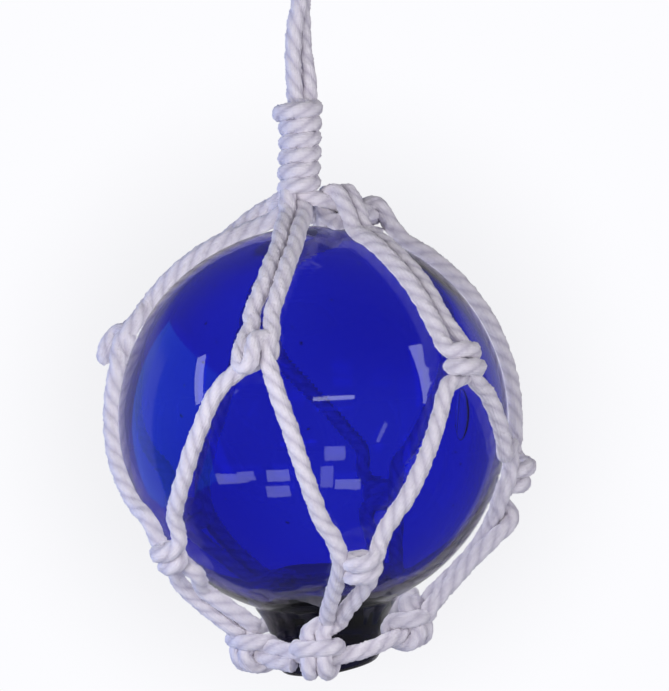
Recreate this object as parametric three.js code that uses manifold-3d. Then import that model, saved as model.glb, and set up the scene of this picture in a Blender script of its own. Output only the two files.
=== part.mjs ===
// A blown glass float ball in a net of knotted rope, hanging by its rope loop.
// Millimetres, +Z up. The origin is the inside of the loop's crown, where a hook carries it.
import * as THREE from 'three';
import { mergeVertices } from 'three/addons/utils/BufferGeometryUtils.js';
import Module from 'manifold-3d';

const wasm = await Module();
wasm.setup();
const rad = THREE.MathUtils.degToRad;

// ---- Driving dimensions ----
const BALL_RADIUS = 75;
const HOOK_TO_BALL = 207; // from the hook down to the centre of the ball
const LEAN = rad(2.8); // the ball and its net hang a little out of plumb
const ROPE = 5.8; // diameter of the laid rope
const CORE = 5.1; // diameter of its solid, between the crowns and the valleys of the strands
const HITCH = CORE + 0.1; // a hitch's, a hair more, so that its faces lie in no leg's plane
const GAP = 0.3; // between one piece and the next

// The neck under the ball and the seal button that ends it
const NECK_RADIUS = 23.2;
const NECK_TOP = -74.8;
const BUTTON_RADIUS = 20;
const BUTTON_FACE = -96;
const BUTTON_TILT = rad(5); // the button was pressed on a little crooked
const LATHE_SIDES = 32;
const LATHE_STEP = 10; // degrees of latitude between two rings of the ball
const NECK_ANGLE = 158; // from the ball's top to the neck, in degrees

// Lifts above the glass, and reaches within a knot, in rope diameters
const RUN_LIFT = 0.54; // a strand that lies on the glass
const POST_LIFT = 1.43; // a strand that another one is wrapped round
const WRAP_OUT = 0.95; // from the post to the strand wrapped round it, away from the glass
const WRAP_SIDE = 1.02; // the same, along the glass
const WRAP_RISE = 1.04; // from one turn to the next
const WRAP_TURNS = 2;
const WRAP_STEPS = 8; // points in a turn
const NEAR = 0.6; // from a knot's middle to a strand that runs on beside its partner
const FAR = 1.4; // and to one that leaves its partner there
const RING_LIFT = 1.53; // the top ring, which rides on the strands under it

// The top ring, an oval beside the ball's axis, in the plane square to it
const TOP_RING = { x: 9, y: 4, halfWidth: 19.5, halfDepth: 12 };
const RING_JOINT = { at: 100, overlap: 3 }; // where its halves meet, in degrees round the oval
const RISER = { at: 242, spread: 9 }; // and where they turn up together into the wraps
const RING_STEPS = 10; // points along each half

// The wrapped knot above it
const WRAPS = {
  turns: 6, radius: 5.3, start: 1.2,
  slack: 2.6, // of the last turn, which stands off to the left
  tuck: 0.45, // how far in the two ends go, as a share of the radius
  foot: new THREE.Vector3(0.6, -5.5, 87.6), head: new THREE.Vector3(3.8, -2, 121.4),
};

// Tubes
const SIDES = 6;
const LOOP_SIDES = 8;
const RUN_STEP = 16; // between two sections of a straight run
const LONG_RUN = 14; // between two places of a route, from where another is put in halfway
const BEND_STEP = rad(60); // or the turn that calls for another one

const COLOURS = {
  glass: { color: '#1c2496', roughness: 0.05, metalness: 0 },
  rope: { color: '#d6d2e0', roughness: 0.9, metalness: 0 },
};

// ---- The net, by azimuth and latitude on the ball, in degrees ----
// Azimuth 0 faces the front, -Y, and grows towards +X. The ball's own axis is +Z here.
// Each pair hangs from the top ring and ties the left leg of one cord to the right leg of the cord before it.
// The fourth has no knot: its two strands part below the ring and run down on their own.
const PAIRS = [
  { at: [-90, 25], spin: 8, ring: 170, heading: -88, left: [[-97, 40], [-97, 58]], right: [[-87, 40], [-82, 58]] },
  { at: [-15, 24], spin: 4, ring: 220, heading: -24, left: [[-20, 36], [-17, 52]], right: [[-11, 36], [-8, 52]] },
  { at: [45, 17], spin: -14, ring: 291, heading: 38, left: [[42, 29], [40, 46]], right: [[50, 28], [50, 44]] },
  { ring: 2, heading: 98, left: [[95, 24], [96, 38], [98, 53]], right: [[117, 30], [108, 43], [106, 55]] },
  { at: [197, 26], spin: 5, ring: 78, heading: 184, left: [[191, 40], [183, 57]], right: [[201, 41], [197, 58]] },
];

// Each cord: its hitch on the bottom ring, its lower knot, and the runs of its legs up to the two upper knots
const CORDS = [
  {
    hitch: -58, knot: { at: [-56, -31], spin: 6 },
    drop: {
      left: [[-66, -63, 2.4], [-71, -55, 1.8], [-69, -47, 1]],
      right: [[-60, -64, 1.6], [-60, -56, 0.8], [-55, -47]],
    },
    left: [[-69, -18], [-82, -3], [-88, 9]], right: [[-46, -18], [-39, -8], [-31, 5]],
  },
  {
    hitch: -9, knot: { at: [10, -36], spin: -8 },
    drop: { left: [[1, -60, 0.9], [4, -50]], right: [[12, -60, 0.9], [14, -52]] },
    left: [[1, -22], [-2, -11], [-6, 3]], right: [[21, -26], [28, -17], [35, -3]],
  },
  {
    hitch: 60, knot: { at: [84, -18], spin: -10 },
    drop: {
      left: [[64, -62, 1.7], [73, -54, 0.7], [81, -46, 0.6], [78, -37, 0.6]],
      right: [[72, -62, 2.4], [77, -54, 1.8], [77, -46, 1.7], [86, -37, 1.5]],
    },
    left: [[69, -9], [58, 1]], right: [[91, -6], [93, 4], [94, 14]],
  },
  {
    hitch: 134, knot: { at: [155, -30], spin: -4 },
    drop: { left: [[138, -59, 1.3], [147, -47, 0.7]], right: [[149, -60, 1.3], [157, -48, 0.7]] },
    left: [[147, -18], [138, -2], [128, 14]], right: [[164, -17], [176, 0], [188, 14]],
  },
  {
    hitch: 208, knot: { at: [229, -29], spin: 3 },
    drop: { left: [[213, -59, 1.2], [222, -46, 0.6]], right: [[224, -59, 1.2], [232, -47, 0.6]] },
    left: [[220, -17], [211, -2], [204, 13]], right: [[238, -17], [250, -3], [261, 12]],
  },
];

// The bottom ring, by azimuth, radius and height. Its ends pass each other between the first two hitches.
const BOTTOM_RING = [
  [-54, 33, -81.8], [-40, 33.5, -82.2], [-24, 33.5, -83.6], [-9, 33, -85.6], [25, 34.5, -84.5], [60, 36, -80],
  [97, 36.5, -79], [134, 36.5, -79.5], [171, 35, -80.5], [208, 34.5, -81], [255, 34, -84], [302, 34, -86.2],
  [320, 34.5, -88], [337, 34.2, -89.2],
];

// The hanging loop, from the wrapped knot up one strand, round the crown and down the other.
// Points in the hook's own frame, left strand first.
const HANGING_LOOP = [
  [-4.6, -1.2, -81.8], [-5, -1.4, -75], [-5.4, -1.6, -68], [-4, -2.4, -57], [-2, -2.8, -45], [-5, -2, -34],
  [-10.4, -0.8, -22], [-12, 0, -10], [-8.5, 0, -0.7], [0, 0, 2.9], [8.5, 0, -0.7], [12, 0, -10],
  [10.2, 0.8, -22], [4.2, 2, -34], [-0.4, 3, -45], [-0.2, 3, -57], [0.6, 2.4, -68], [2.2, 1.6, -75],
  [1.4, 0.8, -81.8],
];

// ---- Places on the ball and in a knot ----
function direction(azimuth, latitude) {
  const a = rad(azimuth);
  const b = rad(latitude);
  return new THREE.Vector3(Math.sin(a) * Math.cos(b), -Math.cos(a) * Math.cos(b), Math.sin(b));
}

function onBall([azimuth, latitude, lift = RUN_LIFT]) {
  return direction(azimuth, latitude).multiplyScalar(BALL_RADIUS + lift * ROPE);
}

// A place beside a knot: across to the right and up along the glass, and lifted off it, in rope diameters
function inKnot({ at: [azimuth, latitude], spin }, across, up, lift) {
  const out = direction(azimuth, latitude);
  const right = new THREE.Vector3(Math.cos(rad(azimuth)), Math.sin(rad(azimuth)), 0).applyAxisAngle(out, rad(spin));
  const north = new THREE.Vector3().crossVectors(out, right);
  const reach = ROPE / BALL_RADIUS;
  return out.addScaledVector(right, across * reach).addScaledVector(north, up * reach)
    .normalize().multiplyScalar(BALL_RADIUS + lift * ROPE);
}

// The strand that stays straight in a knot, from below it to above it
function post(knot, below, above) {
  if (!knot.at) return [];
  const rises = [
    [below, -2, RUN_LIFT + 0.2], [below / 3, -0.9, POST_LIFT], [above / 3, 0.9, POST_LIFT], [above, 2, RUN_LIFT + 0.2],
  ];
  return rises.map(([across, up, lift]) => inKnot(knot, across, up, lift));
}

// The strand that takes two turns round it, starting and ending on its right
function wrap(knot, below, above) {
  if (!knot.at) return [];
  const points = [inKnot(knot, below, -2, RUN_LIFT + 0.2)];
  const steps = WRAP_TURNS * WRAP_STEPS;
  for (let step = 0; step <= steps; step++) {
    const angle = 2 * Math.PI * (step / WRAP_STEPS + 0.25);
    const up = (step / steps - 0.5) * WRAP_TURNS * WRAP_RISE;
    points.push(inKnot(knot, WRAP_SIDE * Math.sin(angle), up, POST_LIFT - WRAP_OUT * Math.cos(angle)));
  }
  points.push(inKnot(knot, above, 2, RUN_LIFT + 0.2));
  return points;
}

// ---- Places on the rings ----
function onTopRing(angle) {
  const x = TOP_RING.x + TOP_RING.halfWidth * Math.cos(rad(angle));
  const y = TOP_RING.y + TOP_RING.halfDepth * Math.sin(rad(angle));
  const reach = BALL_RADIUS + RING_LIFT * ROPE;
  return new THREE.Vector3(x, y, Math.sqrt(reach * reach - x * x - y * y));
}

function onBottomRing([azimuth, radius, height]) {
  return new THREE.Vector3(radius * Math.sin(rad(azimuth)), -radius * Math.cos(rad(azimuth)), height);
}

// The place on the bottom ring where a hitch sits, and the directions out, right and up there
function hitchPlace(azimuth) {
  const out = direction(azimuth, 0);
  const right = new THREE.Vector3(Math.cos(rad(azimuth)), Math.sin(rad(azimuth)), 0);
  const place = onBottomRing(BOTTOM_RING.find(([at]) => (at - azimuth) % 360 === 0));
  return { place, axes: [out, right, new THREE.Vector3(0, 0, 1)] };
}

// Steps from a place, in rope diameters, along three directions square to each other
function offset(place, axes, amounts) {
  const point = place.clone();
  axes.forEach((axis, index) => point.addScaledVector(axis, amounts[index] * ROPE));
  return point;
}

// A strand's turn over the top ring, its end trapped under its own run
function topTurn({ ring, heading }, side) {
  const place = onTopRing(ring);
  const up = place.clone().normalize();
  const across = new THREE.Vector3().crossVectors(up, direction(heading, 0)).normalize();
  const out = new THREE.Vector3().crossVectors(across, up);
  const turn = [
    [2.4, 0.5, -0.9], [1.25, 0.5, 0.25], [0, 0.5, 1.05], [-0.94, 0.5, 0.38], [-0.87, 0.52, -0.56],
    [-0.05, 0.56, -1.02], [0.9, 0.6, -1.02],
  ];
  return turn.map(([far, beside, above]) => offset(place, [out, across, up], [far, side * beside, above]));
}

// Half of a cord's hitch on the bottom ring, from the middle of its bar in front to the foot of one leg
function hitchHalf(azimuth, side) {
  const { place, axes } = hitchPlace(azimuth);
  const half = [
    [1.2, 0, 1.08], [1.1, 0.75, 1.08], [0.38, 1.28, 1.04], [-0.68, 1.16, 0.68], [-1.04, 0.98, -0.1],
    [-0.68, 0.78, -0.85], [0.08, 0.62, -1.06], [0.8, 0.53, -0.7],
  ];
  return half.map(([far, beside, above]) => offset(place, axes, [far, side * beside, above]));
}

// The leg from there up inside the bar
function legFoot(azimuth, side) {
  const { place, axes } = hitchPlace(azimuth);
  const foot = [[0.66, 0.53, -0.8], [1.04, 0.52, 0], [0.4, 0.52, 0.95], [0.2, 0.5, 1.95]];
  return foot.map(([far, beside, above]) => offset(place, axes, [far, side * beside, above]));
}

// ---- Tubes and solids ----
// A smooth path whose sections stand close in the bends and far apart on the runs.
// Its two end sections can be pushed out beyond its ends.
class SteppedPath extends THREE.Curve {
  constructor(points, overrun) {
    super();
    this.overrun = overrun;
    this.line = new THREE.CatmullRomCurve3(points, false, 'centripetal');
    this.line.arcLengthDivisions = 40 * points.length;
    this.stops = [0];
    const length = this.line.getLength();
    const samples = Math.ceil(length);
    let tangent = this.line.getTangentAt(0);
    let turned = 0;
    let run = 0;
    for (let sample = 1; sample < samples; sample++) {
      const next = this.line.getTangentAt(sample / samples);
      turned += tangent.angleTo(next);
      run += length / samples;
      tangent = next;
      if (turned > BEND_STEP || run > RUN_STEP) {
        this.stops.push(sample / samples);
        turned = 0;
        run = 0;
      }
    }
    this.stops.push(1);
  }

  get steps() {
    return this.stops.length - 1;
  }

  getPointAt(share, target) {
    const point = this.line.getPointAt(this.stops[Math.round(share * this.steps)], target);
    if (share === 0) point.addScaledVector(this.getTangentAt(share), -this.overrun);
    if (share === 1) point.addScaledVector(this.getTangentAt(share), this.overrun);
    return point;
  }

  getTangentAt(share, target) {
    return this.line.getTangentAt(this.stops[Math.round(share * this.steps)], target);
  }
}

function polygon(radius, sides) {
  const corners = [];
  for (let corner = 0; corner < sides; corner++) {
    const angle = (2 * Math.PI * corner) / sides;
    corners.push(new THREE.Vector2(radius * Math.cos(angle), radius * Math.sin(angle)));
  }
  return new THREE.Shape(corners);
}

function solid(geometry) {
  geometry.deleteAttribute('normal');
  geometry.deleteAttribute('uv');
  const merged = mergeVertices(geometry, 1e-4);
  return new wasm.Manifold(new wasm.Mesh({
    numProp: 3,
    vertProperties: new Float32Array(merged.attributes.position.array),
    triVerts: new Uint32Array(merged.index.array),
  }));
}

function tube(points, diameter = CORE, sides = SIDES, overrun = 0) {
  const path = new SteppedPath(points, overrun);
  return solid(new THREE.ExtrudeGeometry(polygon(diameter / 2, sides), { steps: path.steps, extrudePath: path }));
}

// The room that a strand needs, to be cut from a piece it passes
function roomFor(points) {
  return tube(points, CORE + 2 * GAP, SIDES, GAP);
}

function joined(solids) {
  return solids.reduce((whole, next) => whole.add(next));
}

// A solid without the chips that a cut has left beside it
function withoutChips(whole) {
  return whole.decompose().reduce((largest, next) => (next.volume() > largest.volume() ? next : largest));
}

function meshOf(name, shape, finish) {
  const { vertProperties, triVerts } = shape.getMesh();
  const geometry = new THREE.BufferGeometry();
  geometry.setAttribute('position', new THREE.BufferAttribute(vertProperties, 3));
  geometry.setIndex(new THREE.BufferAttribute(triVerts, 1));
  geometry.computeVertexNormals();
  const mesh = new THREE.Mesh(geometry, new THREE.MeshStandardMaterial(finish));
  mesh.name = name;
  return mesh;
}

// ---- The glass ----
function glassFloat() {
  const profile = [];
  for (let angle = 0; angle < NECK_ANGLE; angle += LATHE_STEP) {
    profile.push(new THREE.Vector2(BALL_RADIUS * Math.sin(rad(angle)), BALL_RADIUS * Math.cos(rad(angle))));
  }
  profile.push(
    new THREE.Vector2(NECK_RADIUS + 2.6, NECK_TOP + 2.4),
    new THREE.Vector2(NECK_RADIUS, NECK_TOP),
    new THREE.Vector2(BUTTON_RADIUS + 1.8, NECK_TOP - 7),
    new THREE.Vector2(BUTTON_RADIUS + 0.6, BUTTON_FACE + 6),
    new THREE.Vector2(BUTTON_RADIUS, BUTTON_FACE + 3),
    new THREE.Vector2(BUTTON_RADIUS - 1.2, BUTTON_FACE + 1),
    new THREE.Vector2(BUTTON_RADIUS - 3.4, BUTTON_FACE),
    new THREE.Vector2(0, BUTTON_FACE),
  );
  const geometry = new THREE.LatheGeometry(profile.reverse(), LATHE_SIDES).rotateX(Math.PI / 2);
  const { position } = geometry.attributes;
  for (let index = 0; index < position.count; index++) {
    const below = THREE.MathUtils.clamp((NECK_TOP - 6 - position.getZ(index)) / 8, 0, 1);
    position.setZ(index, position.getZ(index) + below * Math.tan(BUTTON_TILT) * position.getX(index));
  }
  return solid(geometry);
}

// ---- The hanger ----
// The top ring in two halves. Each runs from the joint at its back to the riser, then up inside the wraps.
function ringHalf(side) {
  const from = RING_JOINT.at + side * RING_JOINT.overlap;
  const to = side < 0 ? RISER.at - RISER.spread : RISER.at + RISER.spread - 360;
  const points = [];
  for (let step = 0; step <= RING_STEPS; step++) {
    points.push(onTopRing(THREE.MathUtils.lerp(from, to, step / RING_STEPS)));
  }
  points.push(alongWraps(0.04).add(new THREE.Vector3(side * 0.8, 0, 0)));
  return points;
}

function alongWraps(share) {
  return WRAPS.foot.clone().lerp(WRAPS.head, share);
}

function wrapsPath() {
  const points = [];
  const steps = WRAPS.turns * WRAP_STEPS;
  for (let step = 0; step <= steps; step++) {
    const turn = step / WRAP_STEPS;
    const angle = 2 * Math.PI * turn + WRAPS.start;
    const slack = WRAPS.slack * Math.max(0, turn - WRAPS.turns + 1.2);
    const tucked = step === 0 || step === steps;
    const reach = WRAPS.radius * (tucked ? WRAPS.tuck : 1) + slack;
    const turned = new THREE.Vector3(reach * Math.cos(angle) - slack, reach * Math.sin(angle), 0);
    points.push(alongWraps(turn / WRAPS.turns).add(turned));
  }
  return points;
}

// ---- The net ----
// A leg's route with a place put in halfway along each long run, as high over the glass as its two ends
function bentRound(route) {
  return route.flatMap((place, index) => {
    const next = route[index + 1];
    if (!next || place.distanceTo(next) < LONG_RUN) return [place];
    const height = (place.length() + next.length()) / 2;
    return [place, place.clone().add(next).setLength(height)];
  });
}

function cordPaths(index) {
  const cord = CORDS[index];
  const before = PAIRS[index];
  const after = PAIRS[(index + 1) % PAIRS.length];
  const left = [
    ...legFoot(cord.hitch, -1), ...cord.drop.left.map(onBall), ...post(cord.knot, -NEAR, -FAR),
    ...cord.left.map(onBall), ...wrap(before, FAR, NEAR), ...before.right.map(onBall), ...topTurn(before, 1),
  ];
  const right = [
    ...legFoot(cord.hitch, 1), ...cord.drop.right.map(onBall), ...wrap(cord.knot, NEAR, FAR),
    ...cord.right.map(onBall), ...post(after, -FAR, -NEAR), ...after.left.map(onBall), ...topTurn(after, -1),
  ];
  const hitch = [...hitchHalf(cord.hitch, -1).reverse(), ...hitchHalf(cord.hitch, 1).slice(1)];
  return { left: bentRound(left), right: bentRound(right), hitch };
}

// ---- The part ----
const hangerPaths = [ringHalf(-1), ringHalf(1), [-0.03, 0.5, 1.08].map(alongWraps), wrapsPath()];
const hanger = joined(hangerPaths.map((points) => tube(points)));
const bottomRing = BOTTOM_RING.map(onBottomRing);
const paths = CORDS.map((cord, index) => cordPaths(index));

const float = new THREE.Group();
float.rotation.y = -LEAN;
float.position.z = -HOOK_TO_BALL;
float.add(meshOf('glass_float', glassFloat(), COLOURS.glass));
float.add(meshOf('bottom_ring', tube(bottomRing), COLOURS.rope));
float.add(meshOf('hanger_knot', hanger, COLOURS.rope));
paths.forEach(({ left, right, hitch }, index) => {
  const neighbour = paths[(index + CORDS.length - 1) % CORDS.length];
  const taken = [neighbour.left, neighbour.right, bottomRing, ...hangerPaths];
  const cord = joined([tube(hitch, HITCH), tube(left), tube(right)]).subtract(joined(taken.map(roomFor)));
  float.add(meshOf(`net_cord_${index + 1}`, withoutChips(cord), COLOURS.rope));
});

const loopPoints = HANGING_LOOP.map((point) => new THREE.Vector3(...point));
const group = new THREE.Group();
group.add(float, meshOf('hanging_loop', tube(loopPoints, CORE, LOOP_SIDES), COLOURS.rope));

export default group;
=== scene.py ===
# %% [markdown]
# # A glass float in a net of rope
# A glass-blower makes this float as a hollow ball of deep blue glass and seals the hole with a button of the
# same glass. Cords of white cotton rope are hitched on a small ring under the ball, knotted to each other round
# its sides and turned over a ring on top, and one more rope, wrapped below its loop, carries the float.
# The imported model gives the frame: every piece below is built in the same place and at the same size, in metres,
# and stands for the plain solid that was packed for it.

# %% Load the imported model
import math

import bpy
import numpy as np
from mathutils import Matrix, Vector


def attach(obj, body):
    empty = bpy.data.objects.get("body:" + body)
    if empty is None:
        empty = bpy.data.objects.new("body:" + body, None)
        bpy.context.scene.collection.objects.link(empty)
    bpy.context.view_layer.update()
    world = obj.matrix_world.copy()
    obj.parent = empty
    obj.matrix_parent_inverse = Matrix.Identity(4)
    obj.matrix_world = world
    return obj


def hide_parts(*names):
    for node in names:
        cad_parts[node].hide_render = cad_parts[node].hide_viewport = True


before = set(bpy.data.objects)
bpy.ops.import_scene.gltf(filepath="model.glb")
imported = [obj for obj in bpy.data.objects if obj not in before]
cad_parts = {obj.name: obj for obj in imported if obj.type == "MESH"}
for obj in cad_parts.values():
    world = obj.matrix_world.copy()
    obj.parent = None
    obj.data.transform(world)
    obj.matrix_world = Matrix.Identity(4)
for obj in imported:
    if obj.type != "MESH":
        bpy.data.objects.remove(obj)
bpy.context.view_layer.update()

# %% [markdown]
# ## The camera
# A hanging float is looked at from a little above its middle. A long lens keeps the ball round, where a short
# one would stretch it towards the corners. The loop of the rope runs out of the top of the frame, so the lens is
# shifted instead of tilted: a shift moves the picture and keeps upright lines upright. The float hangs a touch
# out of level in the frame, so the camera rolls a little about its line of sight.

# %% Camera
def in_scene(name, data):
    """A new object of that name in the scene, made of a mesh, a camera or a lamp."""
    thing = bpy.data.objects.new(name, data)
    bpy.context.scene.collection.objects.link(thing)
    return thing


MM = 0.001
BALL_CENTRE = Vector((0, 0, -207 * MM))
CAMERA_DISTANCE = 1.0
CAMERA_ELEVATION = math.radians(6)
CAMERA_ROLL = math.radians(1.17)
FRAME_WIDTH, FRAME_HEIGHT = 669, 691
FOCAL_LENGTH = 2593 / FRAME_WIDTH  # in frame widths
BALL_IN_FRAME = (313, 421)  # where the ball's centre stands, from the frame's top left

camera_data = bpy.data.cameras.new("camera")
camera_data.sensor_fit = "HORIZONTAL"
camera_data.sensor_width = 36
camera_data.lens = FOCAL_LENGTH * camera_data.sensor_width
camera_data.shift_x = (FRAME_WIDTH / 2 - BALL_IN_FRAME[0]) / FRAME_WIDTH
camera_data.shift_y = (BALL_IN_FRAME[1] - FRAME_HEIGHT / 2) / FRAME_WIDTH
camera_data.clip_end = 50
camera = in_scene("camera", camera_data)
to_camera = Vector((0, -math.cos(CAMERA_ELEVATION), math.sin(CAMERA_ELEVATION)))
turned = to_camera.to_track_quat("Z", "Y").to_matrix().to_4x4()
camera.matrix_world = (
    Matrix.Translation(BALL_CENTRE + CAMERA_DISTANCE * to_camera) @ turned @ Matrix.Rotation(-CAMERA_ROLL, 4, "Z")
)
bpy.context.scene.camera = camera
print(f"camera: lens {camera_data.lens:.1f} mm, shift {camera_data.shift_x:.3f}, {camera_data.shift_y:.3f}")

# %% [markdown]
# ## Colours and nodes
# Colours are chosen as hex values, as a paint chart gives them, and a shader wants them linear, so one function
# turns them. Another adds a node with its settings and its links, so that a material reads from top to bottom.

# %% Colour and node helpers
def linear(hex_value):
    """The linear colour of an sRGB hex value, with full alpha."""
    parts = [int(hex_value[i:i + 2], 16) / 255 for i in (1, 3, 5)]
    return [p / 12.92 if p <= 0.04045 else ((p + 0.055) / 1.055) ** 2.4 for p in parts] + [1.0]


def add_node(tree, kind, inputs=None, **settings):
    """A shader node of that kind. An input is a value, or an output socket to link."""
    node = tree.nodes.new("ShaderNode" + kind)
    for name, value in settings.items():
        setattr(node, name, value)
    for name, value in (inputs or {}).items():
        socket = node.inputs[name]
        if isinstance(value, bpy.types.NodeSocket):
            tree.links.new(value, socket)
        else:
            socket.default_value = value
    return node


def new_material(name):
    """An empty material and its node tree."""
    material = bpy.data.materials.new(name)
    material.use_nodes = True
    material.node_tree.nodes.clear()
    return material, material.node_tree


print("a mid grey, #808080, is", round(linear("#808080")[0], 3), "of white in linear light")

# %% [markdown]
# ## Cotton rope, three strands laid
# Soft cotton yarn is twisted into strands, and three strands are laid round each other against that twist. Raw
# bleached cotton is matte and scatters light like snow, with a faint halo of loose fibre at its edges, so its
# roughness is high and it has a little sheen. The yarns run almost straight along the rope. A yarn is about
# 0.5 mm thick, which is too fine to show, so the bump draws it at 1 mm. The valleys between the strands are
# given painted shade, a greyer colour. The mesh says where they are, in an attribute that is 1 on a crown and 0 in
# a valley.

# %% Rope material
YARN = 1.0 * MM
YARN_CRIMP = 0.2 * MM  # how deep the bump between two yarns reads
TUFT = 2.2 * MM  # the size of the soft unevenness in spun yarn
TUFT_CRIMP = 0.5 * MM


def cotton_rope():
    """Bleached cotton, spun and laid: matte, faintly lilac, with painted shade that greys the valleys of the lay.
    """
    material, tree = new_material("bleached_cotton_laid")
    crown = add_node(tree, "Attribute", attribute_name="crown")
    place = add_node(tree, "TexCoord")
    tufts = add_node(tree, "TexNoise", {
        "Vector": place.outputs["Object"], "Scale": 1 / TUFT, "Detail": 3.0, "Roughness": 0.6,
    })
    yarns = add_node(tree, "TexWave", {
        "Vector": place.outputs["UV"], "Scale": 1.0, "Distortion": 2.5, "Detail": 2.0, "Detail Scale": 1.5,
    }, bands_direction="Y", wave_profile="SIN")
    # painted shade: the valleys get a greyer colour than the crowns, mixed by the crown attribute
    shade = add_node(tree, "Mix", {
        "Factor": crown.outputs["Fac"], "A": linear("#cbc6d0"), "B": linear("#e9e5e9"),
    }, data_type="RGBA")
    dust = add_node(tree, "MapRange", {
        "Value": tufts.outputs["Fac"], "From Min": 0.3, "From Max": 0.75, "To Min": 0.0, "To Max": 0.35,
    })
    colour = add_node(tree, "Mix", {
        "Factor": dust.outputs["Result"], "A": shade.outputs["Result"], "B": linear("#cfc9d6"),
    }, data_type="RGBA", blend_type="MULTIPLY")
    yarn_bump = add_node(tree, "Bump", {
        "Height": yarns.outputs["Fac"], "Strength": 0.45, "Distance": YARN_CRIMP,
    })
    bump = add_node(tree, "Bump", {
        "Height": tufts.outputs["Fac"], "Strength": 0.75, "Distance": TUFT_CRIMP,
        "Normal": yarn_bump.outputs["Normal"],
    })
    shader = add_node(tree, "BsdfPrincipled", {
        "Base Color": colour.outputs["Result"], "Roughness": 0.92, "Specular IOR Level": 0.25,
        "Sheen Weight": 0.35, "Sheen Roughness": 0.5, "Normal": bump.outputs["Normal"],
    })
    add_node(tree, "OutputMaterial", {"Surface": shader.outputs["BSDF"]})
    return material


ROPE_MATERIAL = cotton_rope()
print("rope material:", len(ROPE_MATERIAL.node_tree.nodes), "nodes")

# %% [markdown]
# ## A smooth line through a few places
# A rope's route is given by the places it passes. A centripetal Catmull-Rom spline runs through every one of
# them without loops or overshoot, which a Bezier curve only does once its handles are set by hand. The line is
# then walked at an even step, because the lay of the strands has to turn evenly along it.

# %% The line of a rope
STEP = 0.7  # millimetres between two sections of a rope


def lengths_along(line):
    """How far along the line each of its points is."""
    return np.concatenate([[0], np.cumsum(np.linalg.norm(np.diff(line, axis=0), axis=1))])


def smooth_line(places, step=STEP):
    """Points at an even step along a centripetal Catmull-Rom spline through the places, in the same unit."""
    p = np.asarray(places, float)
    p = np.vstack([2 * p[0] - p[1], p, 2 * p[-1] - p[-2]])
    fine = []
    share = np.linspace(0, 1, 24, endpoint=False)[:, None]
    for a, b, c, d in zip(p, p[1:], p[2:], p[3:]):
        ab, bc, cd = (math.sqrt(np.linalg.norm(v)) for v in (b - a, c - b, d - c))
        leaving = ((b - a) / ab - (c - a) / (ab + bc) + (c - b) / bc) * bc
        arriving = ((c - b) / bc - (d - b) / (bc + cd) + (d - c) / cd) * bc
        s2, s3 = share**2, share**3
        ends = (2 * s3 - 3 * s2 + 1) * b + (3 * s2 - 2 * s3) * c
        fine.append(ends + (s3 - 2 * s2 + share) * leaving + (s3 - s2) * arriving)
    fine = np.vstack(fine + [p[-2:-1]])
    along = lengths_along(fine)
    stops = np.linspace(0, along[-1], max(3, round(along[-1] / step)))
    return np.column_stack([np.interp(stops, along, fine[:, axis]) for axis in range(3)])


def frames_along(line):
    """Two directions square to the line at each point, which turn with it and never twist about it."""
    tangents = np.gradient(line, axis=0)
    tangents /= np.linalg.norm(tangents, axis=1)[:, None]
    side = np.cross(tangents[0], [0.3, 0.5, 0.8])
    sides = []
    for tangent in tangents:
        side = side - tangent * (side @ tangent)
        side = side / np.linalg.norm(side)
        sides.append(side)
    sides = np.array(sides)
    return sides, np.cross(tangents, sides)


two_sides = smooth_line([(0, 0, 0), (10, 0, 0), (10, 10, 0)])
print(f"two sides of a 10 mm square get {len(two_sides)} points over {lengths_along(two_sides)[-1]:.1f} mm")

# %% [markdown]
# ## The rope itself
# The rope is swept along its line as one closed skin. Its section is the outline of three round strands that
# press into each other, and the section turns once in each 22 mm, to the left, so that on a rope that hangs the
# strands run down to the right, as in S-laid cord. Modelling the lay instead of painting it gives the scalloped
# outline that tells rope from hose. A curve with a round bevel can't do that, and an array along a curve would
# show its seams in the knots.

# %% The laid skin
ROPE = 5.8  # millimetres, the size it is sold as
LOOSE_ROPE = 6.3  # across the crowns of the strands, where nothing presses on it
LAY = 22.0  # length of one full turn of a strand
STRANDS = 3
STRAND_RADIUS = 0.8 * LOOSE_ROPE / 2  # more than half, because soft strands flatten where they meet
STRAND_OFFSET = LOOSE_ROPE / 2 - STRAND_RADIUS
ROUND = 10  # faces round one strand
TUFTS = 0.14  # millimetres that the fibres stand up or lie down at random

random = np.random.default_rng(7)


def rope_section():
    """Radius, angle and crown value of each corner of the section, from one valley round to the next."""
    angles = np.arange(STRANDS * ROUND) * 2 * math.pi / (STRANDS * ROUND)
    from_strand = (angles + math.pi / STRANDS) % (2 * math.pi / STRANDS) - math.pi / STRANDS
    across = STRAND_OFFSET * np.sin(from_strand)
    radius = STRAND_OFFSET * np.cos(from_strand) + np.sqrt(STRAND_RADIUS**2 - across**2)
    valley = radius.min()
    return radius, angles, (radius - valley) / (radius.max() - valley)


SECTION = rope_section()


def girth(along, phase):
    """How thick the rope is at each length along it: a little uneven, as spun cotton is."""
    return 1 + 0.02 * np.sin(along / 9.0 + 3 * phase) + 0.012 * np.sin(along / 3.7 + phase)


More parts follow.
